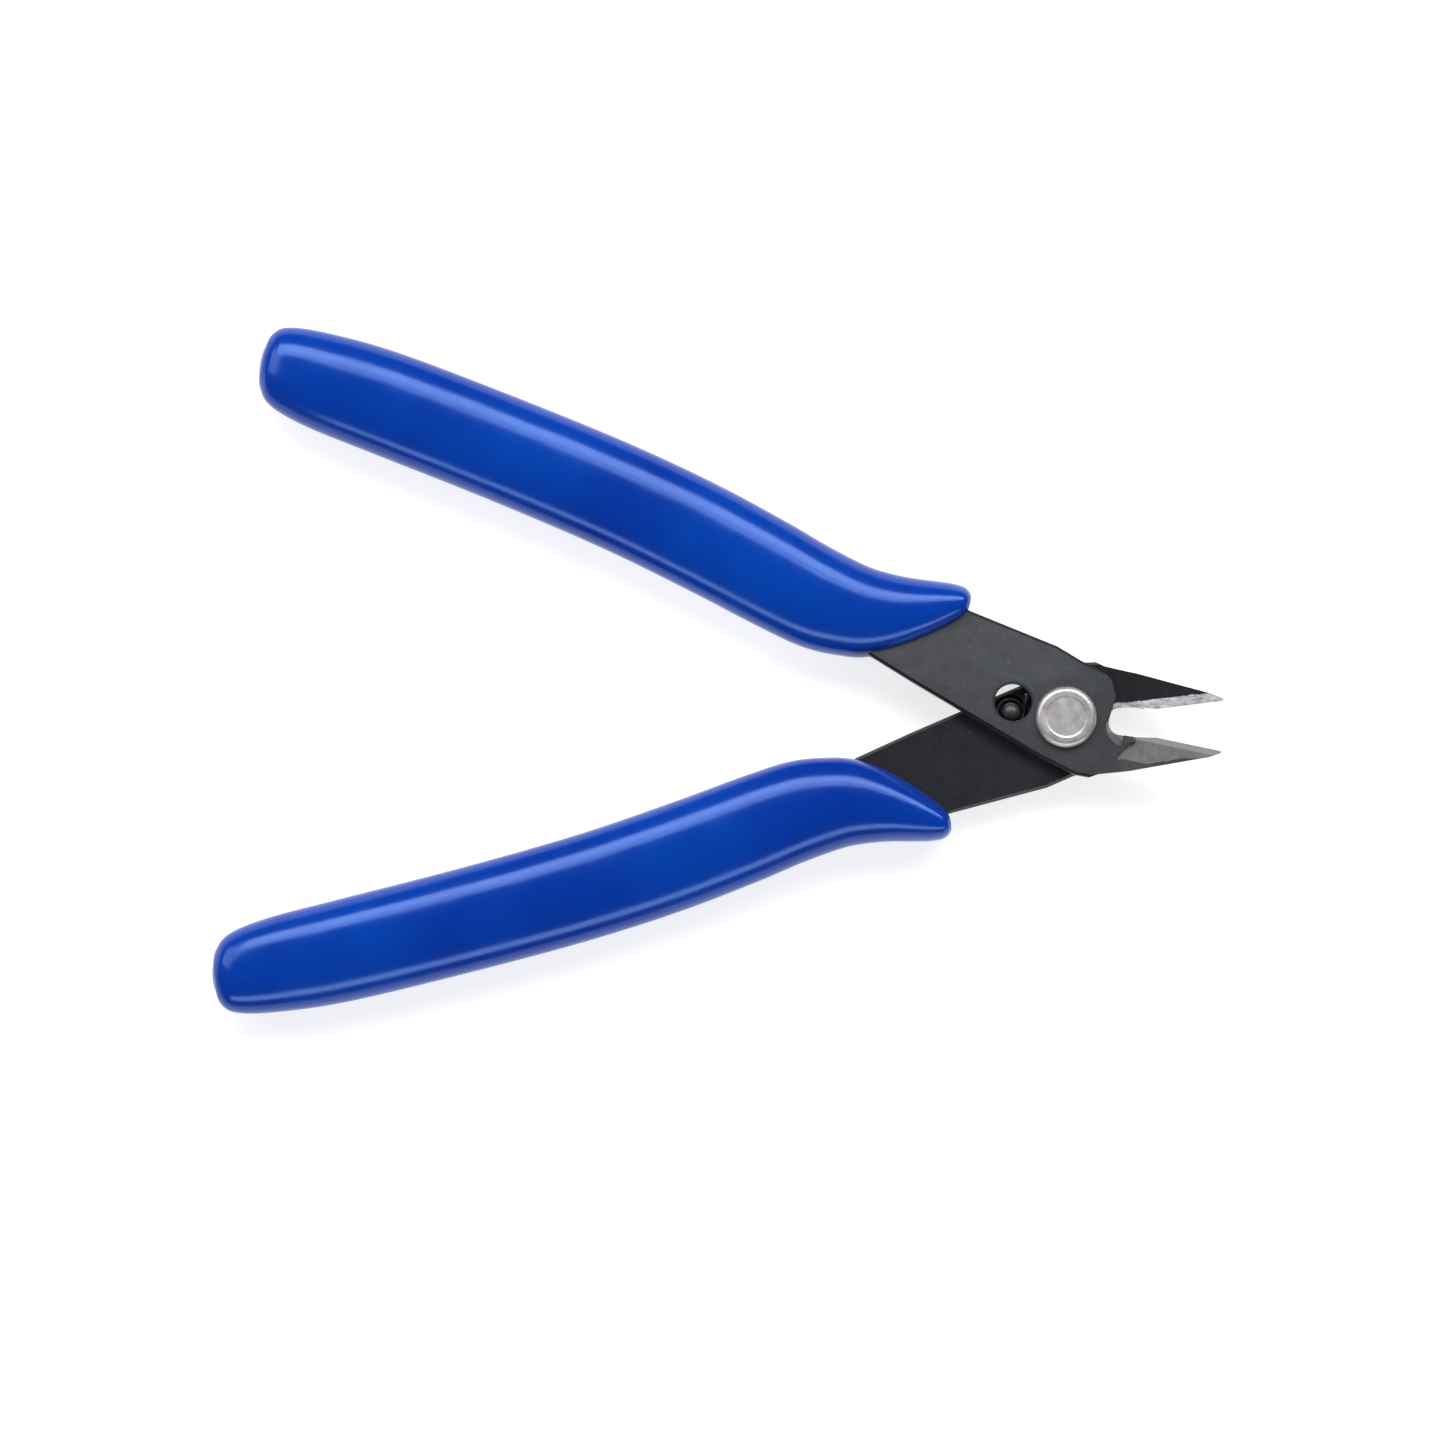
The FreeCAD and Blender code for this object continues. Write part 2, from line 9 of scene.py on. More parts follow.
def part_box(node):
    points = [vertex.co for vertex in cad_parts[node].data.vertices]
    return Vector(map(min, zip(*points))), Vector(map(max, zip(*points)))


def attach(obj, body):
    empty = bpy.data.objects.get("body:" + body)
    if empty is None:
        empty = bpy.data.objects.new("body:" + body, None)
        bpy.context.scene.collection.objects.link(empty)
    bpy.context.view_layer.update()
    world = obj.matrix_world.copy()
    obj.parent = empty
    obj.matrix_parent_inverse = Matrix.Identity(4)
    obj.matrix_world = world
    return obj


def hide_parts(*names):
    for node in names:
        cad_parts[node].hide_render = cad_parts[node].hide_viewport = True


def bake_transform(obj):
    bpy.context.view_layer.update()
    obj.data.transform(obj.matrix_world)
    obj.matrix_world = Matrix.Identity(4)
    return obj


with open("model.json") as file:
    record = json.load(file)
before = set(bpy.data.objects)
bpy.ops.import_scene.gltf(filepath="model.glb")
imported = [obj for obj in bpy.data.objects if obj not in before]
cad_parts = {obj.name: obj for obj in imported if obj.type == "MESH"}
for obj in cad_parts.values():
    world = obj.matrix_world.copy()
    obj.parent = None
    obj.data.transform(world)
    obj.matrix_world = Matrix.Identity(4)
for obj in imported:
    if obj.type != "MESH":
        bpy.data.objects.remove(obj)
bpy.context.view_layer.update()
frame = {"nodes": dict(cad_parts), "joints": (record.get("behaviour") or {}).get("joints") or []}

# Flush cut pliers, open and lying on a pale floor, seen from the rivet's side. Lengths are in metres.
# The plates, rivet and stop post are the frame's own nodes with finished materials.
# The two sleeves and the spring are meshes made here; they stand for the frame's plain ones.
# The closed frame is a half as it lies when the pliers are closed, drawn as the front half, +X at the tips.

MM = 0.001
BODIES = {"front": "front_half", "back": "back_half"}
# When closed both halves lie along +X; at rest the front one is turned back and the back one forward.
HALF_OPENING = math.radians(frame["joints"][0]["range_deg"][1] / 2)
TURN = {"front": -HALF_OPENING, "back": HALF_OPENING}
# The back half is the front half's mirror image in the X axis.
SIDE = {"front": 1, "back": -1}
PLATE_THICK = 2.0 * MM
PLATE_GAP = 0.05 * MM
PLATE_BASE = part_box("front_plate")[0].z
PLATE_TOP = PLATE_BASE + PLATE_THICK
MIDDLE_Z = PLATE_BASE - PLATE_GAP / 2
FLOOR_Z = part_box("back_grip")[0].z

# The plates in the closed frame. The jaw's outer line is in millimetres, from beside the tip to the heel.
OUTLINE_START = (18.3, -0.95)
OUTLINE_END = (9.4, -4.65)
BEND_START = 7.5 * MM
BYPASS = 0.1 * MM
# The honed strip along the back jaw's cutting edge: its width, and where it starts beside the pivot.
STRIP_WIDTH = 1.25 * MM
STRIP_START = 5.6 * MM
# The crotch's countersink: its middle, its least and greatest reach, and the highest y that it comes to.
CROTCH_SINK = np.array([7.6, 0.55]) * MM
CROTCH_REACH = (1.4 * MM, 2.7 * MM)
CROTCH_TOP = 0.6 * MM
# The stamped chamfer ends short of this x, and stays clear of the window's own chamfer.
STAMPED_END = 5.3 * MM
WINDOW = np.array([-6.8, 0.0]) * MM
WINDOW_REACH = 3.0 * MM


# ---- material helpers ----

def new_material(name, colour, roughness, metallic=0.0):
    material = bpy.data.materials.new(name)
    material.use_nodes = True
    shader = material.node_tree.nodes["Principled BSDF"]
    shader.inputs["Base Color"].default_value = (*colour, 1.0)
    shader.inputs["Roughness"].default_value = roughness
    shader.inputs["Metallic"].default_value = metallic
    return material, shader


class Graph:
    """Short calls for building a node graph: each returns an output socket."""

    def __init__(self, material):
        self.tree = material.node_tree
        self.coordinates = self.tree.nodes.new("ShaderNodeTexCoord").outputs["Object"]

    def link(self, source, target):
        self.tree.links.new(source, target)

    def put(self, value, socket):
        if isinstance(value, bpy.types.NodeSocket):
            self.link(value, socket)
        else:
            socket.default_value = value

    def maths(self, operation, *values):
        node = self.tree.nodes.new("ShaderNodeMath")
        node.operation = operation
        for value, socket in zip(values, node.inputs):
            self.put(value, socket)
        return node.outputs[0]

    def placed(self, turn=0.0, scale=None):
        """Object coordinates turned about Z, then scaled."""
        node = self.tree.nodes.new("ShaderNodeMapping")
        node.vector_type = "POINT"
        node.inputs["Rotation"].default_value = (0, 0, turn)
        self.link(self.coordinates, node.inputs["Vector"])
        if scale is None:
            return node.outputs[0]
        again = self.tree.nodes.new("ShaderNodeMapping")
        again.inputs["Scale"].default_value = scale
        self.link(node.outputs[0], again.inputs["Vector"])
        return again.outputs[0]

    def closed(self, half):
        """The x, y and z of a point of this half in the closed frame."""
        x, y, z = self.parts(self.placed(turn=-TURN[half]))
        return x, self.maths("MULTIPLY", y, SIDE[half]), z

    def parts(self, vector):
        node = self.tree.nodes.new("ShaderNodeSeparateXYZ")
        self.link(vector, node.inputs[0])
        return node.outputs

    def noise(self, vector, scale, detail=4.0, roughness=0.55, distortion=0.0):
        node = self.tree.nodes.new("ShaderNodeTexNoise")
        node.inputs["Scale"].default_value = scale
        node.inputs["Detail"].default_value = detail
        node.inputs["Roughness"].default_value = roughness
        node.inputs["Distortion"].default_value = distortion
        self.link(vector, node.inputs["Vector"])
        return node.outputs["Fac"]

    def fit(self, value, low, high, to_low=0.0, to_high=1.0, smooth=False):
        node = self.tree.nodes.new("ShaderNodeMapRange")
        if smooth:
            node.interpolation_type = "SMOOTHSTEP"
        for name, number in (("From Min", low), ("From Max", high), ("To Min", to_low), ("To Max", to_high)):
            self.put(number, node.inputs[name])
        self.link(value, node.inputs["Value"])
        return node.outputs[0]

    def mix(self, share, first, second):
        node = self.tree.nodes.new("ShaderNodeMix")
        node.data_type = "RGBA"
        self.put(share, node.inputs["Factor"])
        for value, socket in ((first, node.inputs[6]), (second, node.inputs[7])):
            if isinstance(value, tuple):
                value = (*value, 1.0)
            self.put(value, socket)
        return node.outputs[2]

    def bump(self, height, strength, distance, below=None):
        node = self.tree.nodes.new("ShaderNodeBump")
        node.inputs["Strength"].default_value = strength
        node.inputs["Distance"].default_value = distance
        self.link(height, node.inputs["Height"])
        if below is not None:
            self.link(below, node.inputs["Normal"])
        return node.outputs[0]


# ---- materials ----

def sleeve_material(half):
    """Glossy blue soft PVC: a slow drift of tone, a faint ripple, and painted shade at the front mouth."""
    material, shader = new_material(f"blue_pvc_{half}", (0.0, 0.05, 0.38), 0.22)
    graph = Graph(material)
    cloud = graph.noise(graph.placed(), 45.0, 3.0)
    tone = graph.mix(graph.fit(cloud, 0.3, 0.7), (0.0, 0.028, 0.29), (0.0, 0.048, 0.37))
    if half == "front":
        # Painted shade: the front sleeve is darkened where it comes down onto the plate near its mouth.
        x, y, z = graph.closed(half)
        low = graph.fit(z, PLATE_TOP + 0.25 * MM, PLATE_TOP + 0.85 * MM, 1.0, 0.0, smooth=True)
        near_mouth = graph.fit(x, -29.0 * MM, -26.5 * MM)
        over_plate = graph.fit(y, 10.6 * MM, 11.4 * MM, 1.0, 0.0)
        mouth_shade = graph.maths("MULTIPLY", graph.maths("MULTIPLY", low, near_mouth), over_plate)
        tone = graph.mix(graph.maths("MULTIPLY", mouth_shade, 0.8), tone, (0.0, 0.008, 0.05))
    graph.link(tone, shader.inputs["Base Color"])
    shader.inputs["Specular Tint"].default_value = (0.34, 0.54, 1.0, 1.0)
    shader.inputs["Specular IOR Level"].default_value = 0.75
    haze = graph.noise(graph.placed(), 300.0, 4.0)
    graph.link(graph.fit(haze, 0.3, 0.7, 0.16, 0.22), shader.inputs["Roughness"])
    ripple = graph.noise(graph.placed(), 110.0, 1.0)
    graph.link(graph.bump(ripple, 0.5, 0.15 * MM), shader.inputs["Normal"])
    return material


def mottled_oxide(graph, half, colour, lighter):
    """The tone and the bump of oxidised plate.

    Grey-black clouds, cooler patches, painted shade to the low edge and jaw, pale specks and scuffs."""
    along = graph.placed(turn=-TURN[half])
    cloud = graph.noise(along, 420.0, 6.0, 0.65)
    tint = graph.noise(along, 260.0, 2.0)
    tone = graph.mix(graph.fit(cloud, 0.32, 0.7), colour, lighter)
    cool = tuple(c * f for c, f in zip(lighter, (0.8, 0.98, 1.12)))
    tone = graph.mix(graph.fit(tint, 0.45, 0.7, 0.0, 0.7), tone, cool)
    x, y, _ = graph.closed(half)
    # Painted shade: the plate is darker towards its low edge and towards the jaw.
    low = graph.fit(y, -6.5 * MM, 5.0 * MM, 0.55, 0.0)
    ahead = graph.fit(x, -3.0 * MM, 5.0 * MM, 0.0, 0.5)
    painted_shade = graph.maths("MAXIMUM", low, ahead)
    tone = graph.mix(painted_shade, tone, tuple(c * 0.3 for c in colour))
    speckle = graph.noise(along, 2300.0, 3.0, 0.6)
    tone = graph.mix(graph.fit(speckle, 0.6, 0.76, 0.0, 0.4), tone, tuple(c * 2.2 for c in lighter))
    short_marks = graph.placed(turn=0.5, scale=(700.0, 3000.0, 700.0))
    scuffs = graph.fit(graph.noise(short_marks, 1.0, 3.0, 0.6, 1.2), 0.66, 0.74)
    tone = graph.mix(graph.maths("MULTIPLY", scuffs, 0.3), tone, tuple(c * 3 for c in lighter))
    grain = graph.bump(speckle, 0.25, 0.02 * MM)
    return tone, graph.bump(scuffs, 0.3, 0.015 * MM, grain)


def black_oxide(name, half, colour, lighter, gloss=0.5):
    material, shader = new_material(name, colour, 0.45)
    shader.inputs["Specular IOR Level"].default_value = gloss
    graph = Graph(material)
    tone, relief = mottled_oxide(graph, half, colour, lighter)
    graph.link(tone, shader.inputs["Base Color"])
    graph.link(relief, shader.inputs["Normal"])
    return material


def root_ground(material, half):
    """The countersunk root of the jaw, where the grinding wheel also took the oxide off."""
    shader = material.node_tree.nodes["Principled BSDF"]
    graph = Graph(material)
    x, y, z = graph.closed(half)
    marks = graph.noise(graph.placed(scale=(1500.0, 1500.0, 1500.0)), 1.0, 3.0)
    patch = graph.maths("MULTIPLY", graph.fit(x, 6.5 * MM, 6.7 * MM), graph.fit(y, -1.5 * MM, -1.3 * MM))
    sunk = graph.fit(z, PLATE_TOP - 0.06 * MM, PLATE_TOP - 0.03 * MM, 1.0, 0.0)
    patch = graph.maths("MULTIPLY", patch, sunk)
    oxide = shader.inputs["Base Color"].links[0].from_socket
    steel = graph.mix(graph.fit(marks, 0.35, 0.65), (0.14, 0.14, 0.143), (0.26, 0.26, 0.26))
    graph.link(graph.mix(patch, oxide, steel), shader.inputs["Base Color"])


def honed_oxide(name, half, colour, lighter):
    """Oxidised plate whose jaw shows a bright, rough honed strip along the cutting edge."""
    material = black_oxide(name, half, colour, lighter, 0.25)
    shader = material.node_tree.nodes["Principled BSDF"]
    graph = Graph(material)
    x, y, _ = graph.closed(half)
    ragged = graph.noise(graph.placed(), 700.0, 4.0, 0.7)
    inner = BYPASS - STRIP_WIDTH
    inner_edge = graph.fit(ragged, 0.3, 0.7, inner - 0.12 * MM, inner + 0.12 * MM)
    beyond = graph.fit(graph.maths("SUBTRACT", y, inner_edge), -0.03 * MM, 0.04 * MM)
    along = graph.fit(x, STRIP_START, STRIP_START + 0.6 * MM)
    bright = graph.maths("MULTIPLY", beyond, along)
    marks = graph.noise(graph.placed(turn=-TURN[half], scale=(900.0, 2600.0, 900.0)), 1.0, 4.0, 0.7)
    silver = graph.mix(graph.fit(marks, 0.35, 0.65), (0.26, 0.26, 0.265), (0.72, 0.72, 0.72))
    scored = graph.noise(graph.placed(turn=1.1, scale=(1300.0, 4200.0, 1300.0)), 1.0, 3.0, 0.6, 2.0)
    oxide = shader.inputs["Base Color"].links[0].from_socket
    oxide = graph.mix(graph.fit(scored, 0.64, 0.72, 0.0, 0.45), oxide, (0.09, 0.09, 0.088))
    graph.link(graph.mix(bright, oxide, silver), shader.inputs["Base Color"])
    graph.link(graph.maths("MULTIPLY", bright, 0.35), shader.inputs["Metallic"])
    graph.link(graph.fit(bright, 0.0, 1.0, 0.45, 0.55), shader.inputs["Roughness"])
    return material


def ground_steel(name, half):
    """The jaw's ground bevel: grey steel, a paler band at the edge, and unground black at the outline."""
    material, shader = new_material(name, (0.2, 0.2, 0.205), 0.5, 0.3)
    graph = Graph(material)
    x, y, _ = graph.closed(half)
    marks = graph.noise(graph.placed(turn=-TURN[half], scale=(4200.0, 500.0, 500.0)), 1.0, 3.0)
    cloud = graph.noise(graph.placed(), 600.0, 3.0)
    tone = graph.mix(graph.fit(cloud, 0.3, 0.7), (0.08, 0.08, 0.083), (0.125, 0.125, 0.125))
    tone = graph.mix(graph.fit(marks, 0.4, 0.75, 0.0, 0.4), tone, (0.22, 0.22, 0.22))
    band = graph.fit(y, BYPASS - 0.85 * MM, BYPASS - 0.65 * MM)
    tone = graph.mix(graph.maths("MULTIPLY", band, 0.6), tone, (0.28, 0.28, 0.28))
    slope = (OUTLINE_END[1] - OUTLINE_START[1]) / (OUTLINE_END[0] - OUTLINE_START[0])
    outline = graph.maths("MULTIPLY_ADD", x, slope, (OUTLINE_START[1] - slope * OUTLINE_START[0]) * MM)
    inside = graph.maths("MULTIPLY", graph.maths("SUBTRACT", y, outline), math.cos(math.atan(slope)))
    ragged = graph.fit(graph.noise(graph.placed(), 900.0, 3.0), 0.3, 0.7, 0.34 * MM, 0.5 * MM)
    width = graph.maths("MULTIPLY", ragged, graph.fit(x, 15.0 * MM, 17.5 * MM, 1.0, 0.0))
    unground = graph.fit(graph.maths("SUBTRACT", inside, width), -0.04 * MM, 0.02 * MM, 1.0, 0.0)
    graph.link(graph.mix(unground, tone, (0.008, 0.008, 0.009)), shader.inputs["Base Color"])
    graph.link(graph.fit(unground, 0.0, 1.0, 0.3, 0.0), shader.inputs["Metallic"])
    graph.link(graph.fit(marks, 0.3, 0.7, 0.45, 0.6), shader.inputs["Roughness"])
    graph.link(graph.bump(marks, 0.3, 0.01 * MM), shader.inputs["Normal"])
    return material


def rivet_steel():
    """Plain steel rivet: satin, with small dents and tool marks on the flat of its head."""
    material, shader = new_material("rivet_steel", (0.5, 0.48, 0.46), 0.42, 0.8)
    graph = Graph(material)
    cloud = graph.noise(graph.placed(), 600.0, 5.0, 0.6)
    dents = graph.fit(graph.noise(graph.placed(), 1300.0, 3.0, 0.7, 0.8), 0.62, 0.7)
    tone = graph.mix(graph.fit(cloud, 0.3, 0.7), (0.46, 0.44, 0.42), (0.64, 0.61, 0.585))
    tone = graph.mix(graph.maths("MULTIPLY", dents, 0.45), tone, (0.22, 0.21, 0.2))
    graph.link(tone, shader.inputs["Base Color"])
    graph.link(graph.fit(cloud, 0.3, 0.7, 0.36, 0.5), shader.inputs["Roughness"])
    graph.link(graph.bump(cloud, 0.25, 0.04 * MM), shader.inputs["Normal"])
    return material


def dark_wire(name, colour, roughness):
    """Drawn or turned steel under oil: dark, with a fine grain."""
    material, shader = new_material(name, colour, roughness, 0.6)
    graph = Graph(material)
    drawn = graph.noise(graph.placed(), 1800.0, 4.0)
    tone = graph.mix(graph.fit(drawn, 0.3, 0.7), colour, tuple(c * 1.8 for c in colour))
    graph.link(tone, shader.inputs["Base Color"])
    graph.link(graph.bump(drawn, 0.15, 0.01 * MM), shader.inputs["Normal"])
    return material


# ---- frame nodes ----

def closed_frame(values, half):
    """Rows of world points or directions in the closed frame."""
    c, s = math.cos(-TURN[half]), math.sin(-TURN[half])
    turned = values @ np.array([[c, -s, 0], [s, c, 0], [0, 0, 1]]).T
    return turned * np.array([1, SIDE[half], 1])


def rows_of(collection, name, width=3):
    values = np.empty(len(collection) * width)
    collection.foreach_get(name, values)
    return values.reshape(-1, width)


def plate_finish(name, half, oxide, edge_shade_or_highlight, ground):
    """Gives a plate its oxide, its stamped edge with painted shade or highlight, and its ground jaw faces."""
    node = frame["nodes"][name]
    mesh = node.data
    mesh.materials.clear()
    for material in (oxide, edge_shade_or_highlight, ground):
        mesh.materials.append(material)
    middles = closed_frame(rows_of(mesh.polygons, "center"), half)
    normals = closed_frame(rows_of(mesh.polygons, "normal"), half)
    ahead = middles[:, 0] > BEND_START
    bevel = (normals[:, 1] > 0.3) & (abs(normals[:, 2]) > 0.6) & ahead
    runout = (normals[:, 0] > 0.45) & ahead
    slanted = (abs(normals[:, 2]) > 0.3) & (abs(normals[:, 2]) < 0.9)
    reach = np.hypot(*(middles[:, :2] - CROTCH_SINK).T)
    crotch = slanted & (reach > CROTCH_REACH[0]) & (reach < CROTCH_REACH[1]) & (middles[:, 1] < CROTCH_TOP)
    from_window = np.hypot(*(middles[:, :2] - WINDOW).T)
    at_45_degrees = abs(normals[:, 2] - math.sqrt(0.5)) < 0.08
    stamped = at_45_degrees & (middles[:, 0] < STAMPED_END) & (from_window > WINDOW_REACH)
    # Slot 1, the stamped edges, takes the darker or paler copy of the oxide: painted shade or painted
    # highlight.
    slots = np.where(bevel | runout | crotch, 2, np.where(stamped, 1, 0))
    mesh.polygons.foreach_set("material_index", slots.astype(np.int32))


def dress(name, material):
    node = frame["nodes"][name]
    node.data.materials.clear()
    node.data.materials.append(material)


# ---- meshes made here ----

def smooth_through(points, steps):
    """A Catmull-Rom curve through rows of numbers, each stretch cut into equal steps."""
    rows = np.array(points, float)
    rows = np.vstack([2 * rows[0] - rows[1], rows, 2 * rows[-1] - rows[-2]])
    made = []
    for before, start, end, after in zip(rows, rows[1:], rows[2:], rows[3:]):
        for step in range(steps):
            t = step / steps
            made.append(0.5 * (
                2 * start + (end - before) * t + (2 * before - 5 * start + 4 * end - after) * t ** 2
                + (3 * start - before - 3 * end + after) * t ** 3
            ))
    made.append(rows[-2])
    return np.array(made)


def skin(name, rings, first_tip, last_tip):
    """A closed smooth mesh over rings of points, ending in a point at each end."""
    count = len(rings[0])
    vertices = [tuple(point) for ring in rings for point in ring]
    faces = []
    for row in range(len(rings) - 1):
        for k in range(count):
            a, b = row * count + k, row * count + (k + 1) % count
            faces.append((a, b, b + count, a + count))
    for tip, row in ((first_tip, 0), (last_tip, len(rings) - 1)):
        vertices.append(tuple(tip))
        for k in range(count):
            faces.append((row * count + k, row * count + (k + 1) % count, len(vertices) - 1))
    mesh = bpy.data.meshes.new(name)
    mesh.from_pydata(vertices, [], faces)
    mesh.validate()
    shape = bpy.data.objects.new(name, mesh)
    bpy.context.scene.collection.objects.link(shape)
    bpy.context.view_layer.objects.active = shape
    shape.select_set(True)
    bpy.ops.object.mode_set(mode="EDIT")
    bpy.ops.mesh.select_all(action="SELECT")
    bpy.ops.mesh.normals_make_consistent(inside=False)
    bpy.ops.object.mode_set(mode="OBJECT")
    bpy.ops.object.shade_smooth()
    shape.select_set(False)
    return shape


# Stations along a sleeve in millimetres, from the closed rear end to the nose of its finger guard:
# distance from the pivot, inner edge, outer edge, half thickness.
SLEEVE_STATIONS = (
    (-108.55, 20.00, 22.80, 1.3),
    (-107.9, 17.80, 24.90, 2.5),
    (-106.0, 15.95, 26.10, 3.5),
    (-101.0, 14.50, 26.50, 4.15),
    (-92.0, 13.10, 26.10, 4.38),
    (-77.0, 10.85, 24.10, 4.4),
    (-62.0, 8.20, 21.70, 4.4),
    (-50.0, 5.45, 19.20, 4.4),
    (-40.0, 2.90, 16.50, 4.4),
    (-34.0, 1.70, 14.65, 4.4),
    (-29.0, 1.80, 13.40, 4.35),
    (-26.0, 2.40, 13.10, 4.25),
    (-23.0, 3.80, 13.15, 4.1),
    (-20.0, 5.80, 13.45, 3.9),
    (-18.0, 7.40, 13.62, 3.75),
    (-16.5, 8.80, 13.55, 3.5),
    (-15.7, 9.75, 13.20, 3.1),
    (-15.25, 10.55, 12.70, 2.4),
)
# How each sleeve sits on its tang, in millimetres: along it, and at its inner and outer edge.
SLEEVE_SEATS = {"front": (0.4, -0.55, -0.4), "back": (-0.4, 0.15, 0.0)}
SLEEVE_ROUNDNESS = 2.2
# How far the closed ends stand out past the first and last station, and how finely the mesh is cut.
END_DOME = 0.12 * MM
AROUND = 80
STEPS = 8


def oval(count, power):
    """A unit superellipse: an oval whose sides are flatter and shoulders fuller as power grows."""
    angles = np.arange(count) * 2 * math.pi / count
    across, up = np.cos(angles), np.sin(angles)
    return np.sign(across) * abs(across) ** (2 / power), np.sign(up) * abs(up) ** (2 / power)


def to_rest(points, half):
    """From the closed frame to where this half lies at rest."""
    mirrored = points * np.array([1, SIDE[half], 1])
    c, s = math.cos(TURN[half]), math.sin(TURN[half])
    turn = np.array([[c, -s, 0], [s, c, 0], [0, 0, 1]])
    return mirrored @ turn.T


def make_sleeve(half, material):
    """An oval moulding through its stations, flat where it rests on the floor and closed at both ends."""
    across, up = oval(AROUND, SLEEVE_ROUNDNESS)
    rest_level = FLOOR_Z - MIDDLE_Z
    rings = []
    seat = np.array([*SLEEVE_SEATS[half], 0.0])
    for x, inner, outer, thick in (smooth_through(SLEEVE_STATIONS, STEPS) + seat) * MM:
        y = (inner + outer) / 2 + across * (outer - inner) / 2
        z = np.maximum(up * thick, rest_level)
        ring = np.stack([np.full(AROUND, x), y, z + MIDDLE_Z], axis=1)
        rings.append(to_rest(ring, half))
    rear = rings[0].mean(axis=0) + to_rest(np.array([-END_DOME, 0, 0]), half)
    nose = rings[-1].mean(axis=0) + to_rest(np.array([END_DOME, 0, 0]), half)
    shape = skin(f"{half}_sleeve", rings, rear, nose)
    shape.data.materials.append(material)
    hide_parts(f"{half}_grip")
    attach(shape, BODIES[half])


def tube(name, path, radius, sides=14):
    """Round wire along a list of points, with domed ends."""
    path = np.array(path)
    tangents = np.gradient(path, axis=0)
    tangents /= np.linalg.norm(tangents, axis=1)[:, None]
    # Any direction that the wire doesn't start along will do here.
    normal = np.cross(tangents[0], (0.3, 0.2, 1.0))
    rings = []
    for point, tangent in zip(path, tangents):
        normal = normal - tangent * (normal @ tangent)
        normal /= np.linalg.norm(normal)
        other = np.cross(tangent, normal)
        ring = [
            point + radius * (math.cos(a) * normal + math.sin(a) * other)
            for a in np.arange(sides) * 2 * math.pi / sides
        ]
        rings.append(ring)
    dome = radius / 2
    return skin(name, rings, path[0] - tangents[0] * dome, path[-1] + tangents[-1] * dome)


# The spring: its wire, the coil's radius, rise each turn and turns, and, about the post, where the coil turns
# into the upper leg and where that leg ends. The coil starts this far above the lower leg's end.
WIRE_RADIUS = 0.3 * MM
COIL_RADIUS = 1.65 * MM
COIL_PITCH = 0.65 * MM
COIL_TURNS = 1.15
LEG_ANGLE = math.radians(10)
LEG_TIP = (1.81 * MM, 2.28 * MM)
FOOT_LENGTH = 0.8 * MM
HELIX_STEPS = 60


def make_spring(material):
    """Torsion spring round the post: anchored leg, over a turn of coil, and a leg up to the window's wall."""
    low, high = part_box("stop_post")
    post = np.array([(low.x + high.x) / 2, (low.y + high.y) / 2, 0])
    foot_z, tip_z = (corner.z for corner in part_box("return_spring"))
    helix = []
    for step in range(HELIX_STEPS + 1):
        turned = COIL_TURNS * step / HELIX_STEPS
        angle = LEG_ANGLE + 2 * math.pi * (turned - COIL_TURNS)
        height = foot_z + FOOT_LENGTH + COIL_PITCH * turned
        helix.append((COIL_RADIUS * math.cos(angle), COIL_RADIUS * math.sin(angle), height))
    foot = [(helix[0][0], helix[0][1], foot_z + FOOT_LENGTH * share) for share in (0.0, 0.375, 0.75)]
    shoulder = np.array(helix[-1])
    end = np.array([*LEG_TIP, tip_z - WIRE_RADIUS])
    leg = [shoulder + (end - shoulder) * share for share in (0.25, 0.5, 0.75, 1.0)]
    # The bends into both legs are rounded by leaving out the helix's first and last few points.
    path = smooth_through([*foot, *helix[3:-2], *leg], 3) + post
    shape = tube("return_spring_wire", path, WIRE_RADIUS)
    shape.data.materials.append(material)
    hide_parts("return_spring")
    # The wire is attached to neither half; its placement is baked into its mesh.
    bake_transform(shape)


# ---- the scene ----

VIEW_ELEVATION = math.radians(87)
VIEW_ROLL = math.radians(3.65)
VIEW_DISTANCE = 0.6
VIEW_WIDTH = 0.18
VIEW_CENTRE = Vector((-0.043, -0.0030, MIDDLE_Z))


def make_floor():
    """A pale bench that glows a little, so that the shadows on it stay faint."""
    bpy.ops.mesh.primitive_plane_add(size=6.0, location=(0, 0, FLOOR_Z))
    floor = bpy.context.object
    floor.name = "floor"
    material, shader = new_material("pale_floor", (0.5, 0.5, 0.5), 0.8)
    shader.inputs["Specular IOR Level"].default_value = 0.1
    shader.inputs["Emission Color"].default_value = (1.0, 1.0, 1.0, 1.0)
    shader.inputs["Emission Strength"].default_value = 0.72
    floor.data.materials.append(material)


def area_light(name, direction, distance, size, power, colour=(1, 1, 1)):
    """A rectangle of light, its first side level, that looks at the middle of the view."""
    data = bpy.data.lights.new(name, "AREA")
    data.shape = "RECTANGLE"
    data.size, data.size_y = size
    data.energy = power
    data.color = colour
    light = bpy.data.objects.new(name, data)
    bpy.context.scene.collection.objects.link(light)
    back = Vector(direction).normalized()
    light.location = VIEW_CENTRE + back * distance
    light.rotation_euler = back.to_track_quat("Z", "Y").to_euler()


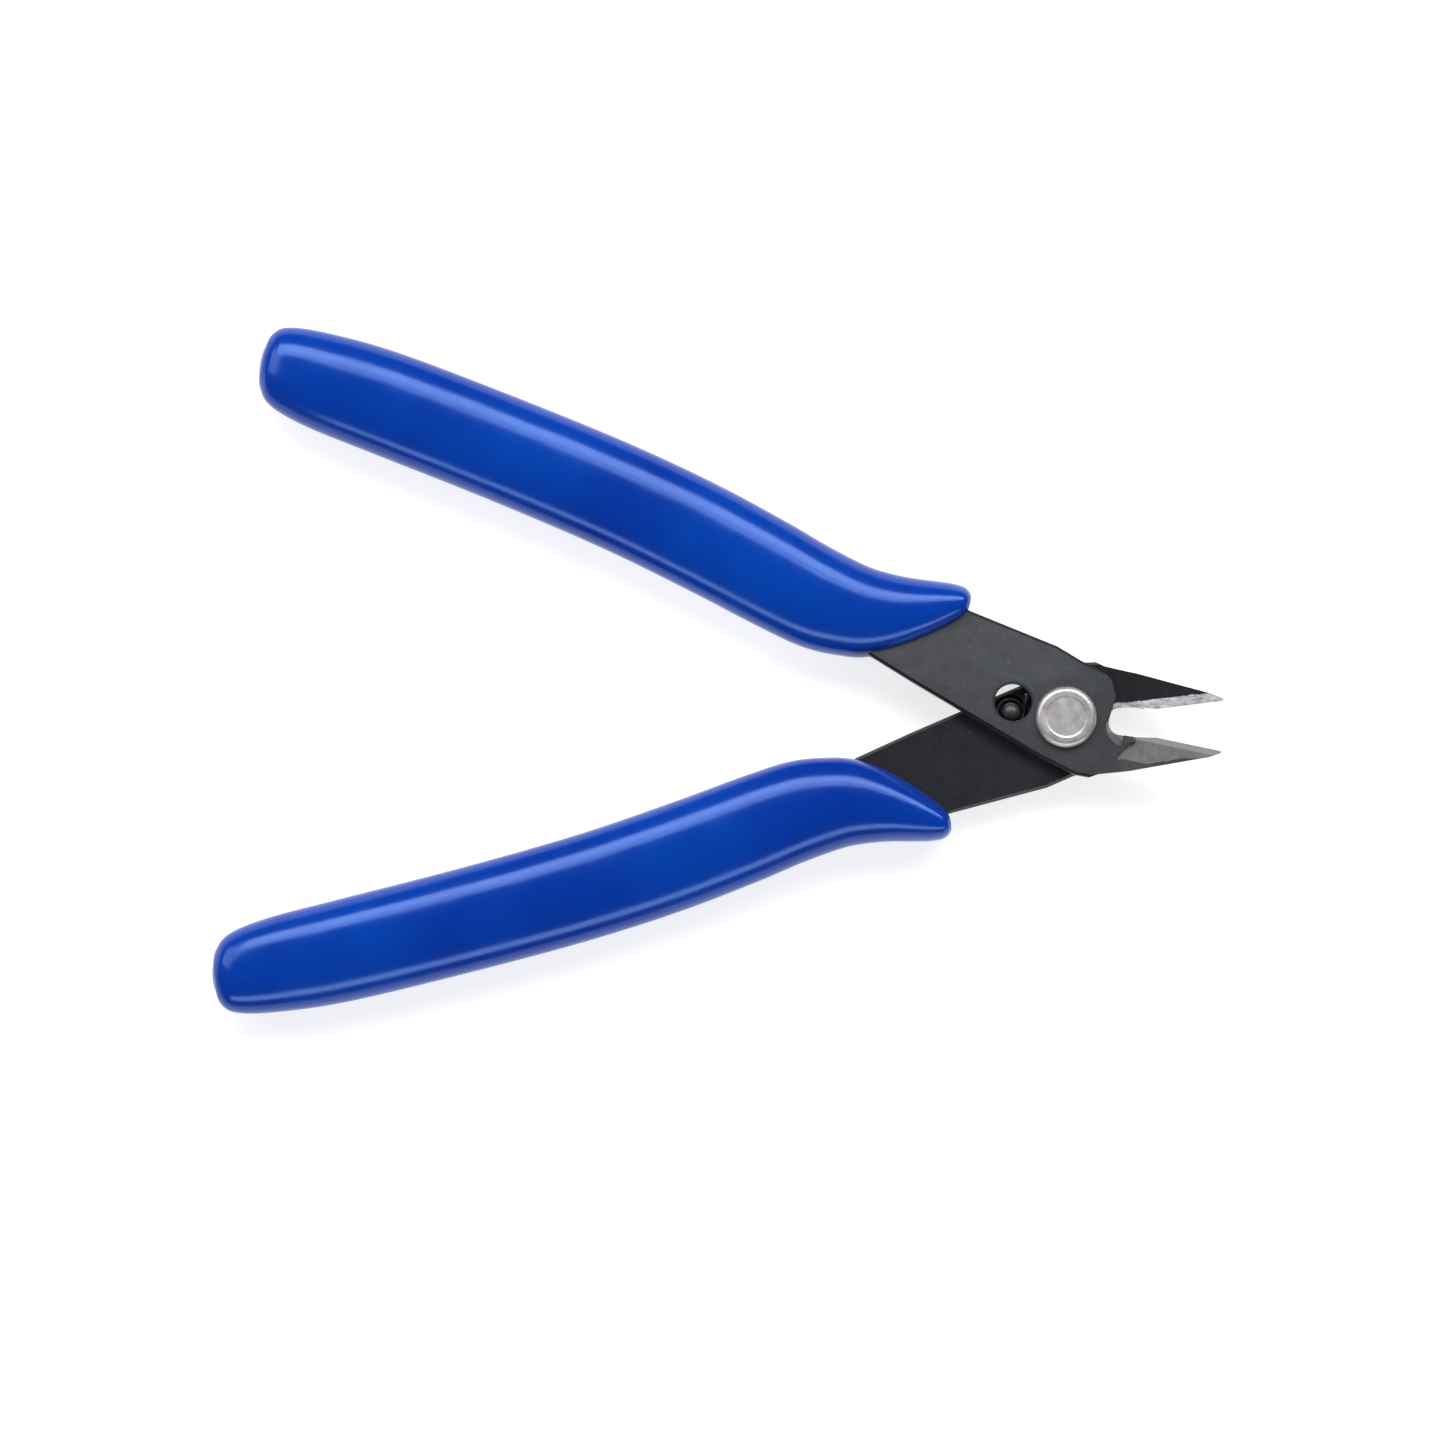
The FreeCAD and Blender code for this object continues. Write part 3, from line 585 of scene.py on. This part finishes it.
def make_camera():
    """A long lens nearly straight above the rivet's side."""
    data = bpy.data.cameras.new("camera")
    data.sensor_width = 36.0
    data.lens = data.sensor_width * VIEW_DISTANCE / VIEW_WIDTH
    camera = bpy.data.objects.new("camera", data)
    bpy.context.scene.collection.objects.link(camera)
    back = Vector((0, -math.cos(VIEW_ELEVATION), math.sin(VIEW_ELEVATION)))
    camera.location = VIEW_CENTRE + back * VIEW_DISTANCE
    straight = back.to_track_quat("Z", "Y")
    roll = Matrix.Rotation(VIEW_ROLL, 4, back).to_quaternion()
    camera.rotation_mode = "QUATERNION"
    camera.rotation_quaternion = roll @ straight
    bpy.context.scene.camera = camera


def make_lights():
    world = bpy.data.worlds.new("studio")
    bpy.context.scene.world = world
    world.use_nodes = True
    world.node_tree.nodes["Background"].inputs["Color"].default_value = (0.9, 0.93, 1.0, 1.0)
    world.node_tree.nodes["Background"].inputs["Strength"].default_value = 0.13
    area_light("back_softbox", (0.05, 0.68, 0.73), 0.8, (1.3, 0.24), 7.0, (0.97, 0.97, 1.0))
    area_light("inner_strip", (0.05, 0.50, 0.86), 0.8, (1.3, 0.03), 1.6, (0.94, 0.96, 1.0))
    area_light("front_softbox", (0.15, -0.85, 0.5), 0.8, (1.2, 0.2), 3.2, (0.96, 0.97, 1.0))
    area_light("left_softbox", (-0.9, 0.35, 0.7), 0.9, (0.5, 0.5), 2.0)


def main():
    bpy.context.scene.view_settings.view_transform = "Standard"
    front_oxide = black_oxide("front_oxide", "front", (0.04, 0.041, 0.045), (0.062, 0.062, 0.067))
    root_ground(front_oxide, "front")
    # The front plate's stamped edges are a darker copy of its oxide: painted shade.
    front_edge_shade = black_oxide("front_edge_shade", "front", (0.006, 0.006, 0.007), (0.012, 0.012, 0.013), 0.2)
    # The back plate's oxide is painted darker than the front's: painted shade of the lower plate.
    back_oxide_shaded = honed_oxide("back_oxide_shaded", "back", (0.01, 0.0095, 0.012), (0.018, 0.017, 0.021))
    # The back plate's stamped edges are a paler copy of its oxide: painted highlight.
    back_edge_highlight = black_oxide("back_edge_highlight", "back", (0.04, 0.04, 0.04), (0.06, 0.06, 0.058))
    plate_finish("front_plate", "front", front_oxide, front_edge_shade, ground_steel("front_bevel", "front"))
    plate_finish("back_plate", "back", back_oxide_shaded, back_edge_highlight, ground_steel("back_bevel", "back"))
    dress("pivot_rivet", rivet_steel())
    dress("stop_post", dark_wire("oiled_post", (0.06, 0.06, 0.064), 0.42))
    for half in BODIES:
        make_sleeve(half, sleeve_material(half))
    make_spring(dark_wire("music_wire", (0.03, 0.03, 0.033), 0.35))
    make_floor()
    make_camera()
    make_lights()


main()
bpy.context.view_layer.update()
